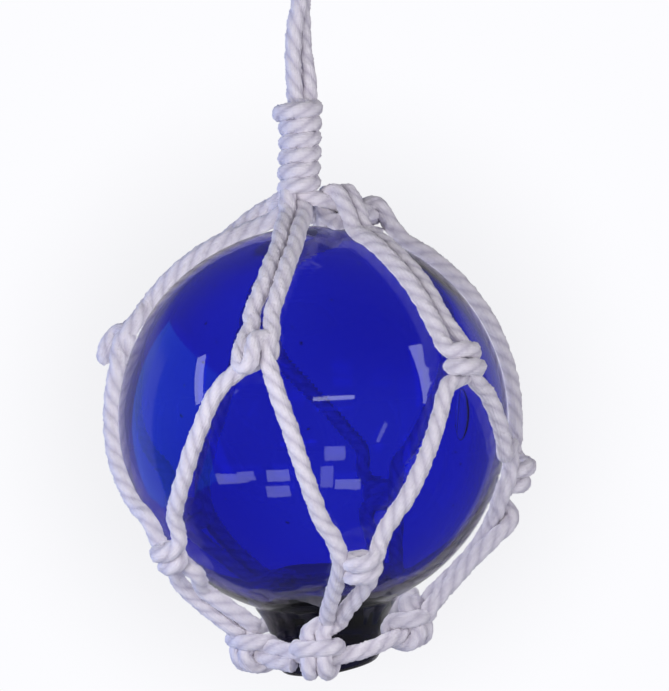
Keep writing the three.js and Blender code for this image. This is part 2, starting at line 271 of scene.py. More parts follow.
def rope_skin(line, phase=0.0):
    """Corners, faces, crown values and corner UVs of one rope along its line, closed at both ends."""
    radius, angles, crown = SECTION
    sides, ups = frames_along(line)
    count, corners = len(line), len(radius)
    along = lengths_along(line)
    turn = angles[None, :] - 2 * math.pi * along[:, None] / LAY + phase
    reach = radius[None, :] * girth(along, phase)[:, None] + random.normal(0, TUFTS, (count, corners))
    skin = (
        line[:, None, :]
        + (reach * np.cos(turn))[:, :, None] * sides[:, None, :]
        + (reach * np.sin(turn))[:, :, None] * ups[:, None, :]
    )
    points = np.vstack([skin.reshape(-1, 3), line[:1], line[-1:]])
    ring = np.arange(count - 1)[:, None] * corners
    here, beside = np.arange(corners)[None, :], (np.arange(corners)[None, :] + 1) % corners
    quads = [ring + here, ring + beside, ring + corners + beside, ring + corners + here]
    first, last, rim = count * corners, count * corners + 1, (count - 1) * corners
    near_end = [(first, (k + 1) % corners, k) for k in range(corners)]
    far_end = [(last, rim + k, rim + (k + 1) % corners) for k in range(corners)]
    faces = np.stack(quads, -1).reshape(-1, 4).tolist() + near_end + far_end
    crowns = np.concatenate([np.tile(crown, count), [0.5, 0.5]])

    def corner_uv(rows, columns):
        rows, columns = np.broadcast_arrays(rows[:, None], columns[None, :])
        return np.stack([along[rows] / ROPE, columns / corners - along[rows] / LAY], -1)

    rows, columns = np.arange(count - 1), np.arange(corners)
    around_face = [(0, 0), (0, 1), (1, 1), (1, 0)]
    uv = np.stack([corner_uv(rows + on, columns + round_) for on, round_ in around_face], 2).reshape(-1, 2)
    return points, faces, crowns, np.vstack([uv, np.zeros((6 * corners, 2))])


print(f"section: from {2 * SECTION[0].min():.2f} mm in the valleys to {2 * SECTION[0].max():.2f} mm")

# %% [markdown]
# ## A piece of rope, pressed on the glass
# Where soft rope lies on glass it is pressed flat against it. So any corner of the skin that would be inside the
# ball is moved out to its surface. That makes the rope sit on the ball instead of floating over it, where a
# shrinkwrap modifier would pull the free side in as well. The UVs hold lengths along the rope and turns round
# it, and don't turn with the strands, because the yarns don't either.

# %% A piece of rope in the scene
YARNS_ROUND = round(math.pi * ROPE * MM / YARN)
BALL_RADIUS = 75.0  # millimetres, as lengths are until a mesh is made
BALL_MIDDLE = np.array(BALL_CENTRE) / MM
CONTACT = 0.15  # millimetres from the glass to the rope pressed on it


def pressed_on_ball(points):
    """The points, in millimetres, with those inside the ball moved straight out to its surface."""
    from_middle = points - BALL_MIDDLE
    distance = np.linalg.norm(from_middle, axis=1)[:, None]
    return BALL_MIDDLE + from_middle * np.maximum(distance, BALL_RADIUS + CONTACT) / distance


def joined_mesh(name, skins, material):
    """One smooth mesh of several closed skins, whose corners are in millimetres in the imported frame."""
    points, faces, start = [], [], 0
    for skin, skin_faces in skins:
        points.append(skin)
        faces += [tuple(start + corner for corner in face) for face in skin_faces]
        start += len(skin)
    mesh = bpy.data.meshes.new(name)
    mesh.from_pydata((np.vstack(points) * MM).tolist(), [], faces)
    mesh.polygons.foreach_set("use_smooth", [True] * len(mesh.polygons))
    mesh.materials.append(material)
    mesh.update()
    return mesh


def rope_piece(name, lines, node, phase=0.0):
    """A rope object along each line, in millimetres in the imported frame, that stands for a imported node."""
    points, faces, crowns, uvs = zip(*(rope_skin(line, phase) for line in lines))
    mesh = joined_mesh(name, zip(map(pressed_on_ball, points), faces), ROPE_MATERIAL)
    crown_values = np.concatenate(crowns).astype(np.float32)
    mesh.attributes.new("crown", "FLOAT", "POINT").data.foreach_set("value", crown_values)
    uv = np.vstack(uvs) * [1, YARNS_ROUND * 2 * math.pi / 20]  # a wave texture repeats every pi / 10
    mesh.uv_layers.new(name="rope").data.foreach_set("uv", uv.astype(np.float32).ravel())
    piece = in_scene(name, mesh)
    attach(piece, "root")
    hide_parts(node)
    length = sum(lengths_along(line)[-1] for line in lines)
    print(f"{name}: {length:.0f} mm of rope, {len(mesh.polygons)} faces")
    return piece


# %% [markdown]
# ## The hanging loop
# The rope that the float hangs by leaves the wraps as two strands, which twist round each other and open into a
# loop for the hook. It is pulled taut by the float, so no simulation is needed: its route is a short list of
# places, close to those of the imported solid. Its two ends run on a little way inside the wraps.

# %% Hanging loop
HANGING_LOOP = [
    (-4.4, -1.4, -81.8), (-4.6, -2.2, -75), (-4.8, -2.6, -68), (-4, -2.8, -57), (-2, -2.8, -45), (-5, -2, -34),
    (-10.4, -0.8, -22), (-12, 0, -10), (-8.5, 0, -0.7), (0, 0, 2.9), (8.5, 0, -0.7), (12, 0, -10),
    (10.2, 0.8, -22), (4.2, 2, -34), (-0.4, 3, -45), (-0.9, 3, -57), (-0.3, 2.4, -68), (0.8, 1.8, -75),
    (1.2, 1.2, -81.8),
]
loop_line = smooth_line([(-3.6, -1.6, -89)] + HANGING_LOOP + [(0.4, 0, -89)])
hanging_loop = rope_piece("hanging_loop_rope", [loop_line], "hanging_loop", phase=0.4)

# %% [markdown]
# ## Places on the ball
# The net lies on the ball, so its places are given as on a globe: an azimuth round the ball's own axis, with 0 at
# the front, and a latitude. The ball leans a little, so the whole net is built upright and turned as one.

# %% Globe places
LEAN = math.radians(2.8)
RUN_LIFT = 0.46  # rope diameters from the glass to the middle of a rope that lies on it


def direction(azimuth, latitude):
    """The direction from the ball's centre to a place on the globe."""
    a, b = math.radians(azimuth), math.radians(latitude)
    return np.array([math.sin(a) * math.cos(b), -math.cos(a) * math.cos(b), math.sin(b)])


def on_ball(place):
    """A place on the upright ball, in millimetres, from its azimuth, its latitude and a lift or none."""
    azimuth, latitude, lift = (*place, RUN_LIFT)[:3]
    return direction(azimuth, latitude) * (BALL_RADIUS + lift * ROPE)


def hung(points):
    """Points of the upright ball turned to its lean and moved to where it hangs, in millimetres."""
    x, y, z = np.asarray(points, float).T
    sine, cosine = math.sin(LEAN), math.cos(LEAN)
    return np.column_stack([x * cosine - z * sine, y, x * sine + z * cosine]) + BALL_MIDDLE


print("the ball's axis points to", [round(v, 3) for v in hung([[0, 0, 1]])[0] - BALL_MIDDLE])

# %% [markdown]
# ## The knots
# Every knot of the net ties two strands: one runs nearly straight and the other turns round it and comes out
# where it is wanted. Drawn tight, that makes a flat lump about three ropes wide, with a crease or two across it.
# One upper knot is coiled: its strand goes round twice, and the lump is rounder. Each table gives one strand's way
# through a knot, from below to above, in the knot's own small grid on the glass: across, up and off the glass,
# all in rope diameters. The ropes share some room in the middle, as soft rope that is pulled tight does.

# %% Knots
UPPER_STRAIGHT = [(1.05, -1.2, 0.6), (0.75, -0.2, 0.8), (0.8, 0.6, 0.85), (0.92, 1.35, 0.65), (0.8, 2.3, 0.5)]
UPPER_TURNED = [
    (-1.4, -1.0, 0.5), (-0.7, -0.6, 0.45), (0.15, -0.15, 0.35), (0.8, 0.25, 0.35), (0.9, 0.75, 0.5),
    (0.55, 1.0, 0.95), (0.15, 0.75, 1.35), (0.08, 0.1, 1.55), (-0.02, -0.55, 1.6), (-0.38, -0.85, 1.55),
    (-0.7, -0.5, 1.45), (-0.7, 0.5, 1.15), (-0.55, 1.4, 0.75), (-0.4, 2.3, 0.5),
]
UPPER_COILED = [
    (-1.4, -1.15, 0.5), (-0.5, -0.95, 0.4), (0.5, -0.85, 0.35), (1.1, -0.75, 0.7), (0.95, -0.6, 1.25),
    (0.25, -0.5, 1.6), (-0.5, -0.35, 1.45), (-0.8, -0.15, 0.9), (-0.35, -0.05, 0.4), (0.5, 0.0, 0.35),
    (1.15, 0.1, 0.65), (1.1, 0.3, 1.15), (0.5, 0.45, 1.55), (-0.2, 0.6, 1.5), (-0.7, 0.8, 1.05),
    (-0.65, 1.4, 0.7), (-0.4, 2.3, 0.5),
]
LOWER_STRAIGHT = [(-0.8, -1.2, 0.6), (-0.75, 0, 0.7), (-0.9, 1.0, 0.6), (-1.25, 2.0, 0.5)]
LOWER_TURNED = [
    (1.3, -1.7, 0.5), (1.0, -1.0, 0.6), (0.4, -0.8, 0.45), (-0.15, -0.7, 0.75), (-0.05, -0.5, 1.3),
    (0.6, -0.25, 1.6), (1.25, -0.1, 1.2), (1.1, 0.1, 0.75), (0.4, 0.2, 0.45), (-0.2, 0.25, 0.75),
    (-0.05, 0.5, 1.35), (0.6, 0.75, 1.65), (1.25, 0.85, 1.2), (1.65, 1.3, 0.6),
]


def glass_grid(azimuth, latitude, spin):
    """Directions off the glass, across and up at a place on the ball, the last two turned by some degrees."""
    out, angle = direction(azimuth, latitude), math.radians(spin)
    level = np.array([math.cos(math.radians(azimuth)), math.sin(math.radians(azimuth)), 0])
    right = level * math.cos(angle) + np.cross(out, level) * math.sin(angle)
    return out, right, np.cross(out, right)


def through_knot(knot, way):
    """A way through a knot as places on the ball, or none where the pair isn't knotted."""
    if "at" not in knot:
        return []
    out, right, north = glass_grid(*knot["at"], knot["spin"])
    places = []
    for across, up, lift in way:
        place = out + (across * right + up * north) * ROPE / BALL_RADIUS
        places.append(place / np.linalg.norm(place) * (BALL_RADIUS + lift * ROPE))
    return places


print(f"an upper knot's rope rises {max(lift for _, _, lift in UPPER_TURNED) * ROPE:.1f} mm off the glass")

# %% [markdown]
# ## The two rings
# The top ring lies on the strands that pass under it, a little to one side of the ball's axis. The bottom ring
# holds the five hitches round the neck. A strand goes over the top ring and its end is trapped under its own run,
# or it goes past the ring and its end is held under the lowest wrap of the knot above. On the bottom ring each
# cord sits in a cow hitch: its middle is the bar in front, and its two legs go over the ring, round behind it and
# up inside the bar. Each turn is one short table in rope diameters, so every hitch is tied alike.

# %% Places on the rings
TOP_RING = {"x": 9, "y": 4, "half_width": 19.5, "half_depth": 12}
TOP_RING_LIFTS = {  # how far off the glass, in rope diameters, by the angle round the ring
    2: 1.15, 40: 1.3, 78: 1.5, 112: 0.65, 150: 1.2, 230: 1.5, 252: 1.95, 268: 1.9, 291: 1.6, 330: 1.3,
}
BOTTOM_RING = [  # azimuth, then millimetres from the axis and along it
    (-54, 33, -81.8), (-40, 33.5, -82.2), (-24, 33.5, -83.6), (-7, 33, -86.4), (25, 34.5, -84.5), (60, 36, -80),
    (97, 36.5, -79), (134, 36.5, -79.5), (171, 35, -80.5), (208, 34.5, -81), (255, 34, -84), (302, 33.5, -84.8),
    (320, 34.3, -87), (337, 34.2, -88.4),
]


def stepped(place, axes, amounts):
    """A place moved along each of three axes by so many rope diameters."""
    return place + sum(axis * amount * ROPE for axis, amount in zip(axes, amounts))


def over_ball(x, y, lift):
    """A place over the top of the ball, so many rope diameters off the glass."""
    return np.array([x, y, math.sqrt((BALL_RADIUS + lift * ROPE) ** 2 - x * x - y * y)])


def on_top_ring(angle):
    """The middle of the top ring's rope at an angle round it."""
    x = TOP_RING["x"] + TOP_RING["half_width"] * math.cos(math.radians(angle))
    y = TOP_RING["y"] + TOP_RING["half_depth"] * math.sin(math.radians(angle))
    lift = np.interp(angle, list(TOP_RING_LIFTS), list(TOP_RING_LIFTS.values()), period=360)
    return over_ball(x, y, lift)


def on_bottom_ring(azimuth, radius, height):
    """The middle of the bottom ring's rope."""
    a = math.radians(azimuth)
    return np.array([radius * math.sin(a), -radius * math.cos(a), height])


def top_turn(pair, side):
    """A strand's turn over the top ring, from the glass to its end under its own run."""
    place = on_top_ring(pair["ring"])
    up = place / np.linalg.norm(place)
    across = np.cross(up, direction(pair["heading"], 0))
    across /= np.linalg.norm(across)
    out = np.cross(across, up)
    turn = [  # away from the ring, beside its pair's middle, and up
        (2.4, 0.5, -0.9), (1.25, 0.5, -0.15), (0, 0.5, 0.85), (-0.94, 0.5, 0.38), (-0.87, 0.52, -0.56),
        (-0.05, 0.56, -1.02), (0.9, 0.6, -1.02),
    ]
    places = [stepped(place, (out, across, up), (far, side * beside, above)) for far, beside, above in turn]
    return [places[0] / np.linalg.norm(places[0]) * (BALL_RADIUS + RUN_LIFT * ROPE), *places[1:]]


def hitch_half(azimuth, side):
    """Half of a cow hitch, from the middle of its bar to where its leg comes free above it."""
    place = next(on_bottom_ring(*p) for p in BOTTOM_RING if (p[0] - azimuth) % 360 == 0)
    outwards, upwards = direction(azimuth, 0), np.array([0, 0, 1.0])
    axes = (outwards, np.cross(upwards, outwards), upwards)
    half = [  # away from the ring, beside the hitch's middle, and up
        (1.15, 0, 0.85), (1.1, 0.8, 0.85), (0.4, 1.3, 0.8), (-0.65, 1.15, 0.6), (-1.0, 1.0, -0.1),
        (-0.65, 0.8, -0.72), (0.08, 0.58, -0.9), (0.72, 0.52, -0.65), (1.0, 0.5, 0), (0.42, 0.5, 0.85),
        (0.2, 0.5, 1.8),
    ]
    return [stepped(place, axes, (far, side * beside, above)) for far, beside, above in half]


print("top ring", 2 * TOP_RING["half_width"], "mm wide, bottom ring of", len(BOTTOM_RING), "places")

# %% [markdown]
# ## The net cords
# Each cord is one rope, about 650 mm long: it starts at the top, comes down one side, sits in its hitch on the
# bottom ring and goes up the other side, where it joins its neighbour in a pair. The tables say where the knots
# are and which way the cord runs between them. Only these places are given one by one. The turns come from the
# functions above, so all the knots match. A simulated net would hang as evenly as a machine-made one.

# %% The pairs and the cords
PAIRS = [
    {
        "at": (-88, 25), "spin": 6,
        "left": [(-97, 40), (-95, 57), (-93, 68)], "right": [(-88, 40), (-83, 57), (-79, 67)],
        "tops": (
            [(-18, 2, 1.15), (-11, 0.5, 1.55), (-6, -1.5, 1.95), (-1, -2.5, 2.9)],
            [(-17, -5, 0.5), (-11, -6, 0.7), (-6, -6.5, 1.15), (-1, -4.5, 2.2)],
        ),
    },
    {
        "at": (-15, 24), "spin": 0,
        "left": [(-18, 36), (-15.2, 48), (-13.5, 62)], "right": [(-11, 36), (-8, 48), (-3.5, 62)],
        "tops": (
            [(-4.3, -13.8, 1.2), (-3.6, -9.5, 2.2), (-2, -5, 2.9)],
            [(2.2, -14.5, 1), (2.4, -10.5, 1.25), (1.5, -6, 1.6)],
        ),
    },
    {
        "at": (46.5, 17), "spin": 5, "turned": UPPER_COILED, "ring": 291, "heading": 41,
        "left": [(43.4, 31), (43.6, 43), (44, 53)], "right": [(48.7, 31), (49.9, 43), (51.5, 53)],
    },
    {
        "ring": 2, "heading": 91,
        "left": [(88, 21), (88.5, 34), (89.5, 48)], "right": [(117, 30), (108, 43), (103, 54)],
    },
    {
        "at": (197, 26), "spin": 5, "ring": 78, "heading": 184,
        "left": [(191, 40), (183, 57)], "right": [(201, 41), (197, 58)],
    },
]
CORDS = [
    {
        "hitch": -58, "knot": {"at": (-58, -32), "spin": -12},
        "drop": (
            [(-58, -63, 1.9), (-61, -57, 1.6), (-65, -50, 1.3), (-66, -43, 1.1)],
            [(-51, -64, 1.2), (-56, -55, 0.75), (-60, -48, 0.6)],
        ),
        "left": [(-69, -18), (-79, -5), (-84.5, 8)], "right": [(-46.5, -20), (-38.5, -8), (-31.7, 4.8), (-27, 14)],
    },
    {
        "hitch": -7, "knot": {"at": (10, -36), "spin": 0},
        "drop": ([(-1, -66, 0.8), (1.5, -58, 0.6), (3.7, -50)], [(7.5, -67, 0.9), (11.5, -58, 0.6), (16, -50)]),
        "left": [(1, -22), (-2.5, -9.5), (-5.8, 4), (-8.6, 13)],
        "right": [(20.5, -25), (25.5, -17.5), (30.8, -7.5), (36, 3)],
    },
    {
        "hitch": 60, "knot": {"at": (79, -18), "spin": -5},
        "drop": (
            [(68, -61, 1.2), (72, -57, 0.95), (75, -52, 0.8), (77, -46, 0.75), (79, -40, 0.75), (79.5, -34, 0.7)],
            [(61, -61, 1.8), (66, -53, 1.3), (69, -48, 1.15), (71, -43, 1.1), (74, -35, 1.4), (80, -29, 1.7)],
        ),
        "left": [(69, -11), (62.5, -0.5), (57.5, 7.5)], "right": [(84.5, -6), (87, 3), (88, 12)],
    },
    {
        "hitch": 134, "knot": {"at": (155, -30), "spin": -4},
        "drop": ([(138, -59, 1.3), (147, -47, 0.7)], [(149, -60, 1.3), (157, -48, 0.7)]),
        "left": [(147, -18), (138, -2), (128, 14)], "right": [(164, -17), (176, 0), (188, 14)],
    },
    {
        "hitch": 208, "knot": {"at": (229, -29), "spin": 3},
        "drop": ([(213, -59, 1.2), (222, -46, 0.6)], [(224, -59, 1.2), (232, -47, 0.6)]),
        "left": [(220, -17), (211, -2), (204, 13)], "right": [(238, -17), (250, -3), (261, 12)],
    },
]

print(len(PAIRS), "pairs and", len(CORDS), "cords")

# %% [markdown]
# ## Tying the net
# The netter middles a cord, hitches it to the bottom ring and leads both legs up, knotting each to its neighbour.
# A cord's route is put together from its two legs, each from the hitch up, and one smooth line goes through all
# of it: the rope then bends as one length, with no joins at the knots.

# %% Tie the net
LONG_RUN = 14  # millimetres between two places, from where another is put in halfway


def bent_round(route):
    """A route with a place put in halfway along each long run, as high over the glass as its two ends."""
    full = [route[0]]
    for before, after in zip(route, route[1:]):
        if np.linalg.norm(after - before) > LONG_RUN:
            middle = before + after
            height = (np.linalg.norm(before) + np.linalg.norm(after)) / 2
            full.append(middle / np.linalg.norm(middle) * height)
        full.append(after)
    return full


def strand_top(pair, side):
    """The end of a strand: in under the lowest wrap, which holds it, or turned over the top ring."""
    if "tops" in pair:
        return [over_ball(*place) for place in pair["tops"][side > 0]]
    return top_turn(pair, side)


def cord_route(index):
    """One cord, from its end at the top down the left, round its hitch and up the right."""
    cord = CORDS[index]
    before, after = PAIRS[index], PAIRS[(index + 1) % len(PAIRS)]
    left = [
        *map(on_ball, cord["drop"][0]), *through_knot(cord["knot"], LOWER_STRAIGHT), *map(on_ball, cord["left"]),
        *through_knot(before, UPPER_STRAIGHT), *map(on_ball, before["right"]), *strand_top(before, 1),
    ]
    right = [
        *map(on_ball, cord["drop"][1]), *through_knot(cord["knot"], LOWER_TURNED), *map(on_ball, cord["right"]),
        *through_knot(after, after.get("turned", UPPER_TURNED)), *map(on_ball, after["left"]),
        *strand_top(after, -1),
    ]
    left = bent_round([hitch_half(cord["hitch"], -1)[-1], *left])[1:]
    right = bent_round([hitch_half(cord["hitch"], 1)[-1], *right])[1:]
    return [*left[::-1], *hitch_half(cord["hitch"], -1)[::-1], *hitch_half(cord["hitch"], 1)[1:], *right]


for index in range(len(CORDS)):
    line = hung(smooth_line(cord_route(index)))
    rope_piece(f"net_cord_{index + 1}_rope", [line], f"net_cord_{index + 1}", phase=0.9 * index)

# %% [markdown]
# ## The bottom ring
# The ring that holds the net together under the ball is one short rope. Its ends lie side by side at the front,
# each held in a hitch, so it needs no knot of its own, and the same line and skin make it as make the cords.

# %% Bottom ring
bottom_ring_line = hung(smooth_line([on_bottom_ring(*place) for place in BOTTOM_RING]))
rope_piece("bottom_ring_rope", [bottom_ring_line], "bottom_ring", phase=2.0)

# %% [markdown]
# ## The wrapped knot
# The top ring's two ends turn up together at its front, and the rope is wrapped six times round them. The wraps
# are pulled down hard, so they lie almost level in front and make their climb at the back. Only the last one
# stands off, on the left. A plain helix would climb evenly and look like a spring, so the climb is held back in
# front. A core rope fills the middle, as the hanger's own ends do.

# %% Top ring and wraps
WRAPS = {
    "turns": 6, "radius": 5.3, "start": 1.2,
    "slack": 2.6,  # how far the last wrap stands off
    "tuck": 0.45,  # how far in both ends are tucked, as a share of the radius
    "level": 0.85,  # how much of the climb is left to the back
    "foot": np.array([0.6, -5.5, 87.6]), "head": np.array([3.8, -2, 121.4]),
}
RING_JOINT, RING_OVERLAP = 100, 3  # degrees round the top ring
RISER, RISER_SPREAD = 242, 9  # where its ends turn up, and half the way between them
RING_STEPS = 13  # places in half of the top ring
WRAP_STEPS = 8  # places in one turn of the wraps


def along_wraps(share):
    """A place on the wrapped knot's axis, from its foot at 0 to its head at 1."""
    return WRAPS["foot"] + (WRAPS["head"] - WRAPS["foot"]) * share


def ring_half(side):
    """Half of the top ring, from the joint at its back to the riser, and up inside the wraps."""
    start = RING_JOINT + side * RING_OVERLAP
    end = RISER - RISER_SPREAD if side < 0 else RISER + RISER_SPREAD - 360
    places = [on_top_ring(angle) for angle in np.linspace(start, end, RING_STEPS)]
    return places + [along_wraps(0.04) + [0.8 * side, 0, 0], along_wraps(0.2) + [1.5 * side, 0, 0]]


def wraps_route():
    """The rope round the risers, both its ends tucked in."""
    places = []
    steps = WRAPS["turns"] * WRAP_STEPS
    for step in range(steps + 1):
        turn = step / WRAP_STEPS
        angle = 2 * math.pi * turn + WRAPS["start"]
        slack = WRAPS["slack"] * max(0, turn - WRAPS["turns"] + 1.2)
        reach = WRAPS["radius"] * (WRAPS["tuck"] if step in (0, steps) else 1) + slack
        climb = turn - WRAPS["level"] * math.cos(angle) / (2 * math.pi)
        aside = [reach * math.cos(angle) - slack, reach * math.sin(angle), 0]
        places.append(along_wraps(climb / WRAPS["turns"]) + aside)
    return places


core = [along_wraps(share) for share in (-0.03, 0.5, 1.05)]
hanger_routes = [ring_half(-1), ring_half(1), core, wraps_route()]
rope_piece("hanger_knot_rope", [hung(smooth_line(route)) for route in hanger_routes], "hanger_knot", phase=1.3)

# %% [markdown]
# ## Cobalt glass
# A little cobalt oxide in the melt makes glass swallow red, most of the green and some of the blue, so thickness
# alone sets how dark it looks: the thin wall is a clear deep blue and the solid neck almost black. The shader has
# no colour of its own, therefore, and the blue comes from absorption inside it, worked out from what the two
# walls should let through. Fire-polished soda-lime glass has an index of 1.52 and almost no roughness, so its
# highlights are small and hard. The faint circles left by turning it on the blowpipe are a shallow bump.

# %% Glass material
WALL = 3.2 * MM
CLEAR_BLUE = [0.004, 0.008, 0.5]  # what is left of white light after the ball's two walls
STRIA = 1.4 * MM  # from one turning line to the next
STRIA_DEPTH = 0.03 * MM


def cobalt_glass():
    """Blown cobalt glass: the deeper the light goes, the bluer and darker it comes out."""
    material, tree = new_material("cobalt_glass_blown")
    loss = [-math.log(share) / (2 * WALL) for share in CLEAR_BLUE]
    density = max(loss)
    place = add_node(tree, "TexCoord")
    striae = add_node(tree, "TexWave", {
        "Vector": place.outputs["Object"], "Scale": 0.3 / STRIA, "Distortion": 3.0, "Detail": 1.0,
        "Detail Scale": 0.4,
    }, wave_type="RINGS", rings_direction="SPHERICAL")
    bump = add_node(tree, "Bump", {
        "Height": striae.outputs["Fac"], "Strength": 0.06, "Distance": STRIA_DEPTH,
    })
    shader = add_node(tree, "BsdfPrincipled", {
        "Base Color": [1, 1, 1, 1], "Transmission Weight": 1.0, "Roughness": 0.012, "IOR": 1.52,
        "Normal": bump.outputs["Normal"],
    })
    inside = add_node(tree, "VolumeAbsorption", {
        "Color": [1 - value / density for value in loss] + [1], "Density": density,
    })
    add_node(tree, "OutputMaterial", {
        "Surface": shader.outputs["BSDF"], "Volume": inside.outputs["Volume"],
    })
    print("glass takes", [round(value) for value in loss], "of red, green and blue in a metre")
    return material


GLASS_MATERIAL = cobalt_glass()

# %% [markdown]
# ## The ball
# The float is a hollow shell, so it has two skins: the outer one is turned from a profile with the neck and the
# button on it, and the inner one is the space that was blown. Both are closed, and the inner one faces inwards,
# which tells the renderer where glass ends and air begins. Lathe work in plain numbers keeps the wall exact,
# where a solidify modifier would also hollow the neck. Glass gathers at the neck, so the wall thickens towards
# it. Hand-blown glass is never quite even, so the inner skin waves, and the button is pressed on a little askew.

# %% Turned skins
AROUND = 192  # corners round the ball
PROFILE = [  # from the ball down the neck and round the button: millimetres from the axis and along it
    (28.6, -69.6), (26.9, -72.2), (25.1, -75), (23.5, -78.6), (22.4, -82), (21.4, -86), (20.6, -90), (20, -93),
    (18.8, -95), (16.6, -96), (12, -96), (7, -95.6),
]
BALL_ENDS = 157  # degrees from the top, where the neck begins
FOOT_GLASS = 5.0  # how much thicker the wall is at the neck than at the top
FOOT_BEGINS = 140  # degrees from the top, from where it thickens
OUTER_WAVE, INNER_WAVE = 0.06, 0.35
BUTTON_MIDDLE = (0, -95.2)
BUTTON_TILT = math.radians(5)
TILT_BEGINS, TILT_GROWS = -80.8, 8  # how far along the axis, and over how many millimetres
ARC_STEP = 1.5  # degrees between two rows of corners


def closed_faces(rows, sides, inwards=False):
    """The faces of a skin of rings of corners, closed by one more corner at each end."""
    quads = [(0, 0), (1, 0), (1, 1), (0, 1)]
    faces = [
        tuple((row + down) * sides + (k + on) % sides for down, on in quads)
        for row in range(rows - 1) for k in range(sides)
    ]
    first, last = rows * sides, (rows - 1) * sides
    faces += [(first, k, (k + 1) % sides) for k in range(sides)]
    faces += [(first + 1, last + (k + 1) % sides, last + k) for k in range(sides)]
    return [face[::-1] for face in faces] if inwards else faces


def turned_skin(profile, wave, inwards=False):
    """A closed skin turned from a profile that starts and ends on the axis. It waves by that many millimetres."""
    profile = np.asarray(profile, float)
    rim = profile[1:-1]
    angles = np.arange(AROUND) * 2 * math.pi / AROUND
    radius = rim[:, :1] * np.ones(AROUND)
    height = rim[:, 1:] * np.ones(AROUND)
    ripple = np.sin(3 * angles + height / 19) + 0.6 * np.sin(5 * angles - height / 13 + 2)
    ripple += 0.4 * np.sin(height / 7 + 1)
    scale = 1 + wave * ripple / BALL_RADIUS
    skin = np.stack([radius * np.cos(angles), radius * np.sin(angles), height], -1) * scale[..., None]
    skin = skin.reshape(-1, 3)
    points = np.vstack([skin, [[0, 0, profile[0, 1]], [0, 0, profile[-1, 1]]]])
    return points, closed_faces(len(rim), AROUND, inwards)


def ball_arc(radius, until):
    """A profile down a ball from its top, to an angle from there in degrees."""
    angles = np.radians(np.arange(0, until, ARC_STEP))
    return [(radius * math.sin(a), radius * math.cos(a)) for a in angles]


neck = smooth_line([(x, z, 0) for x, z in PROFILE], step=1.0)[:, :2].tolist()
outer_points, outer_faces = turned_skin(ball_arc(BALL_RADIUS, BALL_ENDS) + neck + [BUTTON_MIDDLE], OUTER_WAVE)
below = np.clip((TILT_BEGINS - outer_points[:, 2]) / TILT_GROWS, 0, 1)
outer_points[:, 2] += below * math.tan(BUTTON_TILT) * outer_points[:, 0]
from_top = np.append(np.arange(0, 180, ARC_STEP), 180)
thickening = FOOT_GLASS * np.clip((from_top - FOOT_BEGINS) / (180 - FOOT_BEGINS), 0, 1) ** 2
inner_radii = BALL_RADIUS - WALL / MM - thickening
inner_profile = np.column_stack([np.sin(np.radians(from_top)), np.cos(np.radians(from_top))])
inner_points, inner_faces = turned_skin(inner_radii[:, None] * inner_profile, INNER_WAVE, inwards=True)
print("outer skin", len(outer_faces), "faces, inner skin", len(inner_faces), "faces")

# %% [markdown]
# ## Seeds and a blister
# Blown glass keeps a few bubbles from the melt, which glass-blowers call seeds, and now and then a long flat
# blister. Each is a small closed skin that faces inwards, in the middle of the wall. They catch light on their
# edges and break up the even blue, which a bump on the surface can't do, because a bubble is inside. A few seeds
# sit together beside the blister, where the melt was stirred.

# %% Bubbles in the wall
def bubble(azimuth, latitude, long, wide, deep, spin, rings=8, sides=14):
    """A closed egg-shaped skin in the middle of the wall, facing inwards. Its half sizes are in millimetres."""
    out, right, north = glass_grid(azimuth, latitude, spin)
    axes = (right, out, -north)
    middle = BALL_RADIUS - WALL / MM / 2
    points = []
    for row in range(1, rings):
        polar = math.pi * row / rings
        for k in range(sides):
            angle = 2 * math.pi * k / sides
            round_it = math.sin(polar)
            sizes = (long * math.cos(polar), deep * round_it * math.sin(angle), wide * round_it * math.cos(angle))
            flat = sum(axis * size for axis, size in zip(axes, sizes)) + out * middle
            points.append(flat / np.linalg.norm(flat) * (middle + sizes[1]))
    ends = [out * middle + right * long * end for end in (1, -1)]
    points += [end / np.linalg.norm(end) * middle for end in ends]
    return np.array(points), closed_faces(rings - 1, sides)  # these mirrored axes turn them inwards


SEEDS, SEEDS_BESIDE_BLISTER = 46, 14
bubbles = [bubble(48, 3, 9.5, 4.0, 0.3, 78, rings=16, sides=24)]
for _ in range(SEEDS):
    size = random.uniform(0.16, 0.42)
    azimuth, latitude, stretch = random.uniform(-180, 180), random.uniform(-60, 75), random.uniform(1, 2.4)
    bubbles.append(bubble(azimuth, latitude, size * stretch, size, size, random.uniform(0, 180)))
for _ in range(SEEDS_BESIDE_BLISTER):
    size = random.uniform(0.18, 0.4)
    bubbles.append(bubble(44 + random.normal(0, 2.2), 1 + random.normal(0, 6), size, size, size, 0))
print(len(bubbles), "bubbles")

# %% [markdown]
# ## One piece of glass
# The float, its hollow and its bubbles are one piece of glass, so all their skins go into one mesh with one
# material. A ray that meets an inner skin then knows that it leaves the glass. Boolean cuts would come to the
# same, but they would take long and tear the thin wall where a bubble nearly touches it.

# %% Put the float together
skins = [(outer_points, outer_faces), (inner_points, inner_faces), *bubbles]
float_mesh = joined_mesh("blown_glass_float", [(hung(points), faces) for points, faces in skins], GLASS_MATERIAL)
glass = in_scene("blown_glass_float", float_mesh)
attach(glass, "root")
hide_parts("glass_float")
print("glass float:", len(float_mesh.polygons), "faces")
